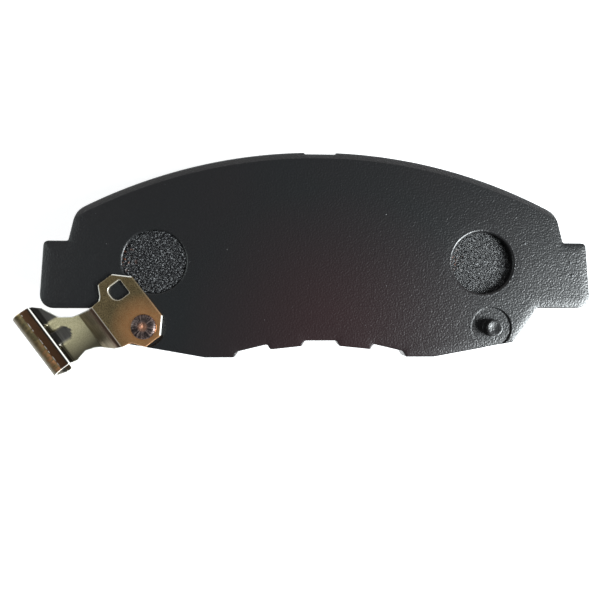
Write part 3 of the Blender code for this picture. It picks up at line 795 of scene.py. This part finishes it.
def stud_height(gap):
    """Height of the right-hand stud and its recess above the plate's face."""
    inner, outer, depth = STUD_DISH
    top = STUD_HEIGHT - depth * (1 - smooth_step(gap, inner, outer))
    top -= quarter_round(STUD_RADIUS - gap, STUD_ROUND)
    width, rise = STUD_FILLET
    floor = -RECESS_DEPTH + quarter_round(gap - STUD_RADIUS, width) * rise / width
    floor *= 1 - smooth_step(gap, RECESS_RADIUS - RECESS_WALL, RECESS_RADIUS + RECESS_WALL)
    return np.where(gap <= STUD_RADIUS, top, floor)


def plate_top(flat, outlines):
    """Height of the plate's back face at each point."""
    outer_gap = edge_distance(flat, outlines[:1])
    hole_gap = edge_distance(flat, outlines[1:])
    height = -quarter_round(outer_gap, EDGE_ROUND) - rolled(outer_gap, EDGE_ROLL)
    height -= quarter_round(hole_gap, HOLE_ROUND) + rolled(hole_gap, HOLE_ROLL)
    lip, place, half = HOLE_LIP
    height += lip * np.exp(-(((hole_gap - place) / half) ** 2))
    width, depth = ARC_BEVEL
    past = np.hypot(flat[:, 0], flat[:, 1] - ARC_CENTRE_Y) - (ARC_RADIUS - width)
    height -= np.clip(past, 0, None) * depth / width
    for side in (-1, 1):
        gap = np.hypot(*(flat - STUDS[side]).T)
        # the left stud is a piece of its own, so its recess has a flat floor here
        raised = stud_height(gap if side > 0 else np.maximum(gap, STUD_RADIUS + 1))
        reached = gap < RECESS_RADIUS + RECESS_WALL
        height = np.where(reached, np.where(raised < 0, height, 0) + raised, height)
    ease = smooth_step(outer_gap, 0.0, PEEL_EASE) * smooth_step(hole_gap, 0.0, PEEL_EASE)
    return height + PEEL_HEIGHT * waves(flat, PEEL_LENGTH) * ease


def backing_plate(material):
    """The stamped plate, with rolled edges, bevelled arc, coined recesses and one plain stud."""
    outlines = [OUTER] + [circle(centre, radius)[::-1] for centre, radius in HOLES.values()]
    extra = [ring_points(OUTER, RINGS, outlines)]
    for hole in outlines[1:]:
        extra.append(ring_points(hole, HOLE_RINGS, outlines))
    recess_rings = [*RECESS_RINGS, *(RECESS_RADIUS + k for k in RECESS_EDGE_RINGS)]
    for side, centre in STUDS.items():
        extra += [circle(centre, radius, RECESS_FACETS) for radius in recess_rings]
        if side > 0:
            extra += [circle(centre, radius, STUD_FACETS) for radius in STUD_RINGS]
    turns = np.radians(np.arange(*ARC_SPAN))
    for off in ARC_RINGS:
        reach = ARC_RADIUS - ARC_BEVEL[0] + off
        extra.append(np.column_stack([reach * np.cos(turns), ARC_CENTRE_Y + reach * np.sin(turns)]))
    grid = hex_points(PLATE_LOW[:2], PLATE_HIGH[:2], GRID)
    grid = grid[edge_distance(grid, outlines) > RINGS[-1]]
    for centre in STUDS.values():
        grid = grid[np.hypot(*(grid - centre).T) > RECESS_RADIUS + GRID_MARGIN]
    extra = np.vstack([*extra, grid])
    extra = extra[inside(extra, outlines)]
    extra = extra[edge_distance(extra, outlines) > CLOSEST]
    flat, faces = triangulated(outlines, extra)
    top = np.column_stack([flat, plate_top(flat, outlines)])
    low = PLATE_UNDERSIDE + quarter_round(edge_distance(flat, outlines[:1]), UNDERSIDE_ROUND)
    bottom = np.column_stack([flat, low])
    plate = shell("plate", faces, top, bottom, material, 50)
    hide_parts("backing_plate")
    return plate


def spun_head(material):
    """The left stud's spun head, over the indicator."""
    low = SHEET_LIFT + SHEET
    high = low + HEAD_THICKNESS
    dish_radius, dish_depth = HEAD_DISH
    profile = [
        (0.0, high - dish_depth),
        (dish_radius * 0.5, high - dish_depth * 0.9),
        (dish_radius, high - 0.05),
        (dish_radius * 1.3, high),
        (1.8, high - 0.02),
        (2.3, high - 0.07),
        (HEAD_RADIUS - 0.6, high - 0.16),
        (HEAD_RADIUS - 0.3, high - 0.32),
        (HEAD_RADIUS - 0.1, high - 0.52),
        (HEAD_RADIUS, high - 0.75),
        (HEAD_RADIUS - 0.08, low + 0.02),
        (STUD_RADIUS, low),
        (STUD_RADIUS, -RECESS_DEPTH),
        (0.0, -RECESS_DEPTH),
    ]
    head = lathe("spun_head", profile, STUDS[-1], material, ripple=HEAD_RIPPLE)
    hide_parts("backing_plate")
    return head


def plug(side, material):
    """One plug of friction mix, with a crumbly top."""
    centre, radius = HOLES[side]
    edge = circle(centre, radius + PLUG_LAP)
    grid = hex_points(centre - radius, centre + radius, PLUG_GRID)
    grid = grid[np.hypot(*(grid - centre).T) < radius - PLUG_GRID * 0.6]
    flat, faces = triangulated([edge], grid)
    gap = np.hypot(*(flat - centre).T)
    height = -PLUG_SINKS[side] - PLUG_HOLLOW + CRUMB_HEIGHT * layered_waves(flat, CRUMB_WAVES)
    width, depth = PLUG_SHOULDER
    top = np.column_stack([flat, height - depth * smooth_step(gap, radius - width, radius)])
    bottom = np.column_stack([flat, np.full(len(flat), -PLUG_SINKS[side] - PLUG_DEPTH)])
    made = shell(f"plug_{side}", faces, top, bottom, material, 70)
    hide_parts("underlayer")
    return made


# ------------------------------------------------------------------ layers


def moulded_noise(point):
    """Coarse and fine lumps of a moulded surface."""
    return noise.noise(Vector(point) * 0.9) + 0.6 * noise.noise(Vector(point) * 2.1)


def moulded_block(name, node, low, high, material):
    """A block from a CAD node, cut to a range of heights, rough but for the ground friction face."""
    edit = bmesh.new()
    edit.from_mesh(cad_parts[node].data)
    bmesh.ops.remove_doubles(edit, verts=edit.verts, dist=0.001 * MM)
    for height, up in ((high, 1), (low, -1)):
        everything = edit.verts[:] + edit.edges[:] + edit.faces[:]
        cut = bmesh.ops.bisect_plane(
            edit, geom=everything, plane_co=(0, 0, height * MM), plane_no=(0, 0, up), clear_outer=True
        )
        edges = [item for item in cut["geom_cut"] if isinstance(item, bmesh.types.BMEdge)]
        if edges:
            bmesh.ops.contextual_create(edit, geom=edges)
    mesh = bpy.data.meshes.new(name)
    edit.to_mesh(mesh)
    edit.free()
    made = bpy.data.objects.new(name, mesh)
    bpy.context.scene.collection.objects.link(made)
    remesh = made.modifiers.new("Voxels", "REMESH")
    remesh.mode = "VOXEL"
    remesh.voxel_size = BLOCK_VOXEL * MM
    soften = made.modifiers.new("Soften", "SMOOTH")
    soften.factor = 0.5
    soften.iterations = 2
    bpy.context.view_layer.update()
    seen = made.evaluated_get(bpy.context.evaluated_depsgraph_get())
    fine = bpy.data.meshes.new_from_object(seen)
    bpy.data.objects.remove(made)
    count = len(fine.vertices)
    points, normals = np.empty(count * 3), np.empty(count * 3)
    fine.vertices.foreach_get("co", points)
    fine.vertex_normals.foreach_get("vector", normals)
    points, normals = points.reshape(-1, 3) / MM, normals.reshape(-1, 3)
    lumps = np.array([moulded_noise(point) for point in points])
    ground = points[:, 2] < LINING_LOW[2] + GROUND_BAND
    lumps *= np.where(ground, GROUND_ROUGHNESS, MOULDED_ROUGHNESS)
    points += normals * lumps[:, None]
    faces = [tuple(face.vertices) for face in fine.polygons]
    piece = add_piece(name, points, faces, material, 60)
    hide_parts(node)
    return piece


def bond_line(material):
    """The bead of cured adhesive along the joint, squeezed out unevenly."""
    outline = cad_section("bond_film", (FILM_LOW[2] + FILM_HIGH[2]) / 2)[0]
    outline = softened(resampled(outline, BEAD_STEP))
    ahead = np.roll(outline, -1, axis=0) - np.roll(outline, 1, axis=0)
    ahead /= np.linalg.norm(ahead, axis=1, keepdims=True)
    outward = np.column_stack([ahead[:, 1], -ahead[:, 0]])
    spread = BEAD_SPREAD + layered_waves(outline, BEAD_WAVES)
    outline = outline + outward * spread[:, None]
    step, margin = BEAD_GRID
    rings = ring_points(outline, BEAD_RINGS, [outline])
    grid = hex_points(outline.min(0), outline.max(0), step)
    grid = grid[inside(grid, [outline])]
    grid = grid[edge_distance(grid, [outline]) > margin]
    flat, faces = triangulated([outline], np.vstack([rings, grid]))
    fall = quarter_round(edge_distance(flat, [outline]), BEAD_ROUND)
    top = np.column_stack([flat, PLATE_UNDERSIDE + BEAD_LAP - fall])
    bottom = np.column_stack([flat, LAYER_TOP - BEAD_LAP + fall])
    piece = shell("adhesive", faces, top, bottom, material, 60)
    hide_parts("bond_film")
    return piece


# ------------------------------------------------------------------ wear indicator


def path_place(distance):
    """The strip's middle at a distance past the first bend: (outwards, up, heading)."""
    if distance <= 0:
        return distance, 0.0, 0.0
    out, up, heading = 0.0, 0.0, 0.0
    left = distance
    for length, radius, turn in STRIP_PATH:
        bend = radians(turn)
        run = length or radius * abs(bend)
        part = min(left, run) / run
        if radius:
            sign = 1 if bend > 0 else -1
            there = heading + bend * part
            out += sign * radius * (sin(there) - sin(heading))
            up -= sign * radius * (cos(there) - cos(heading))
            heading = there
        else:
            out += run * part * cos(heading)
            up += run * part * sin(heading)
        left -= run
        if left <= 0:
            break
    return out, up, heading


def chord_place(distance, foot, top):
    """The same on a straight rib across the corner between two places of the strip."""
    if not foot < distance < top:
        return path_place(distance)
    (x0, z0, _), (x1, z1, _) = path_place(foot), path_place(top)
    share = (distance - foot) / (top - foot)
    return x0 + (x1 - x0) * share, z0 + (z1 - z0) * share, np.arctan2(z1 - z0, x1 - x0)


def strip_frame(distance, across):
    """Middle point and upper normal of the strip, as (outwards, up), at a flat point, and how
    far the point is on a rib."""
    out, up, heading = path_place(distance)
    rib = 0.0
    place = np.array([out, up])
    normal = np.array([-sin(heading), cos(heading)])
    aside = abs(across - GUSSET["middle"])
    half = GUSSET["half_width"]
    nose = GUSSET["nose"] + half * (1 - np.sqrt(max(0.0, 1 - (aside / half) ** 2)))
    ribs = [(1 - smooth_step(aside, half - GUSSET["flank"], half), nose, GUSSET["top"])]
    edge = FACET["edge"]
    ribs.append((smooth_step(edge - across, 0, FACET["flank"]), FACET["foot"], FACET["top"]))
    for weight, foot, top in ribs:
        if weight > 0:
            if foot < distance < top:
                rib = max(rib, weight)
            out, up, heading = chord_place(distance, foot, top)
            place = place * (1 - weight) + np.array([out, up]) * weight
            normal = normal * (1 - weight) + np.array([-sin(heading), cos(heading)]) * weight
    return place, normal / np.linalg.norm(normal), rib


def rim_highlight(flat, loops, gap):
    """How strong the sheared rim's painted highlight is at each flat point: strong where its edge
    faces along the pad or radially outwards, and faint elsewhere, with other shares on the arm, hook and
    holes."""
    points = np.vstack(loops)
    ahead = np.vstack([np.roll(loop, -1, axis=0) - np.roll(loop, 1, axis=0) for loop in loops])
    ahead /= np.linalg.norm(ahead, axis=1, keepdims=True)
    outward = np.column_stack([ahead[:, 1], -ahead[:, 0]])
    facing = outward[:, :1] * OUTWARDS + outward[:, 1:] * ALONG
    bright = np.zeros(len(flat))
    for i in np.nonzero(gap < RIM_HIGHLIGHT_BAND[1])[0]:
        nearest = np.argmin(((points - flat[i]) ** 2).sum(1))
        x, y = facing[nearest]
        along, across = flat[i]
        share = max(smooth_step(y, 0.75, 0.95), smooth_step(abs(x), 0.8, 0.97))
        if along > ZONES["slope"] + 0.35 and across > 3:  # the arm's lower side
            share = max(share, 0.9)
        if along > ZONES["foot"] - 1:  # the wall and the hook
            share = 0.8 * (gap[i] < 0.05) if across > 5 else RIM_HIGHLIGHT_MIN
        if nearest >= len(loops[0]):  # the key hole and the stake's hole
            share = 0.5 * (gap[i] < 0.15)
        bright[i] = max(share, RIM_HIGHLIGHT_MIN)
    return bright * (1 - smooth_step(gap, *RIM_HIGHLIGHT_BAND))


def strip_stations():
    """Where lines of points cross the strip, close together in its bends."""
    stations, start = list(np.arange(STRIP_START, 0.0, STRIP_GRID)), 0.0
    for length, radius, turn in STRIP_PATH:
        run = length or radius * radians(abs(turn))
        pieces = ceil(abs(turn) / BEND_STEP) if radius else max(1, ceil(run / STRIP_GRID))
        stations += [start + run * k / pieces for k in range(pieces)]
        start += run
    return stations


def hook_ripple(along, across):
    """Height of the ripple along the hook's start at a flat point."""
    if along <= HOOK_START:
        return 0.0
    full, fading, gone = RIPPLE_FADE
    share = smooth_step(along, HOOK_START, HOOK_START + full)
    share *= 1 - smooth_step(along, HOOK_START + fading, HOOK_START + gone)
    place = Vector((along * RIPPLE_SCALE[0], across * RIPPLE_SCALE[1], 2.0))
    return HOOK_RIPPLE * share * noise.noise(place)


def wear_indicator(material):
    """The bent strip, with softened sheared edges, a gusset in its corner and a rippled hook."""
    outline = rounded(BLANK)
    outline = outline if area(outline) > 0 else outline[::-1]
    key = rounded(KEY_HOLE)
    key = key if area(key) < 0 else key[::-1]
    stake = circle(STAKE, STAKE_HOLE_RADIUS, STAKE_FACETS)[::-1]
    loops = [resampled(outline, OUTLINE_POINTS), resampled(key, KEY_POINTS), stake]
    rings = [ring_points(loop, STRIP_RINGS, loops) for loop in loops]
    across = np.arange(*STRIP_SIDES, STRIP_GRID)
    lines = [np.column_stack([np.full(len(across), along), across]) for along in strip_stations()]
    lines = np.vstack(lines)
    lines = lines[inside(lines, loops)]
    lines = lines[edge_distance(lines, loops) > STRIP_RINGS[-1] + 0.1]
    flat, faces = triangulated(loops, np.vstack([*rings, lines]))
    gap = edge_distance(flat, loops)
    half = SHEET / 2 - quarter_round(gap, SHEAR_ROUND)
    ripple = [hook_ripple(along, across) for along, across in flat]
    sides, ribs = [], np.zeros(len(flat))
    for sign in (1, -1):
        points = np.empty((len(flat), 3))
        for i, (along, across) in enumerate(flat):
            place, normal, ribs[i] = strip_frame(along, across)
            out, up = place + normal * (sign * half[i] + ripple[i])
            points[i, :2] = FIRST_BEND + OUTWARDS * out + ALONG * across
            points[i, 2] = SHEET_LIFT + SHEET / 2 + up
        sides.append(points)
    # the blank is listed with its upper side seen from below, because outwards and along are a
    # left-handed pair, so the two sides change places
    piece = shell("indicator_strip", faces, sides[1], sides[0], material, 40)
    attribute(piece, "along", flat[:, 0])
    attribute(piece, "across", flat[:, 1])
    # the ribs' weight, which the plating paints dark as painted reflection of the black plate
    attribute(piece, "dark", ribs)
    # the sheared rims' painted highlight
    attribute(piece, "rim", rim_highlight(flat, loops, gap))
    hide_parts("wear_indicator")
    return piece


# ------------------------------------------------------------------ stage


def area_light(name, at, towards, size, power, colour):
    """A rectangular soft light, placed in millimetres."""
    light = bpy.data.lights.new(name, "AREA")
    light.shape = "RECTANGLE"
    light.size, light.size_y = size[0] * MM, size[1] * MM
    light.energy = power
    light.color = colour
    made = bpy.data.objects.new(name, light)
    made.location = Vector(at) * MM
    made.rotation_mode = "QUATERNION"
    made.rotation_quaternion = (Vector(towards) - Vector(at)).to_track_quat("-Z", "Y")
    bpy.context.scene.collection.objects.link(made)


def stage():
    """Pale floor, soft lights and the camera."""
    paint = bpy.data.materials.new("pale_floor")
    paint.use_nodes = True
    shader = paint.node_tree.nodes["Principled BSDF"]
    shader.inputs["Base Color"].default_value = (0.8, 0.8, 0.8, 1)
    shader.inputs["Emission Color"].default_value = (1.0, 1.0, 1.0, 1)
    shader.inputs["Emission Strength"].default_value = 0.75
    shader.inputs["Roughness"].default_value = 0.9
    shader.inputs["Specular IOR Level"].default_value = 0.1
    mesh = bpy.data.meshes.new("floor")
    height = LINING_LOW[2] - FLOOR_GAP
    corners = [(x * FLOOR_REACH, y * FLOOR_REACH, height) for x, y in ((-1, -1), (1, -1), (1, 1), (-1, 1))]
    mesh.from_pydata([Vector(corner) * MM for corner in corners], [], [(0, 1, 2, 3)])
    mesh.materials.append(paint)
    floor = bpy.data.objects.new("floor", mesh)
    bpy.context.scene.collection.objects.link(floor)
    world = bpy.data.worlds.new("room")
    world.use_nodes = True
    sky = world.node_tree.nodes["Background"]
    sky.inputs["Color"].default_value = (0.93, 0.97, 1.0, 1)
    sky.inputs["Strength"].default_value = 0.17
    bpy.context.scene.world = world
    for light in LIGHTS:
        area_light(*light)
    camera = bpy.data.objects.new("camera", bpy.data.cameras.new("camera"))
    camera.data.lens = CAMERA_LENS
    camera.data.sensor_width = 36.0
    camera.data.clip_start = 0.005
    turned = Euler([radians(turn) for turn in CAMERA_TURN]).to_matrix().to_4x4()
    camera.matrix_world = Matrix.Translation(Vector(CAMERA_AT) * MM) @ turned
    bpy.context.scene.collection.objects.link(camera)
    bpy.context.scene.camera = camera
    bpy.context.scene.view_settings.view_transform = "Standard"


def main():
    coat = powder_coat()
    backing_plate(coat)
    spun_head(spun_steel())
    for side, (centre, radius) in HOLES.items():
        rust = (centre[0] - radius, centre[1] + RUST_RISE, -PLUG_SINKS[side])
        plug(side, plug_mix(rust, *PLUG_FINISH[side]))
    bond_line(resin())
    moulded_block("underlayer_band", "underlayer", LAYER_LOW[2], LAYER_TOP, layer_mix())
    moulded_block(
        "lining_block", "friction_lining", LINING_LOW[2], LINING_HIGH[2], lining_mix()
    )
    wear_indicator(yellow_zinc())
    stage()


main()
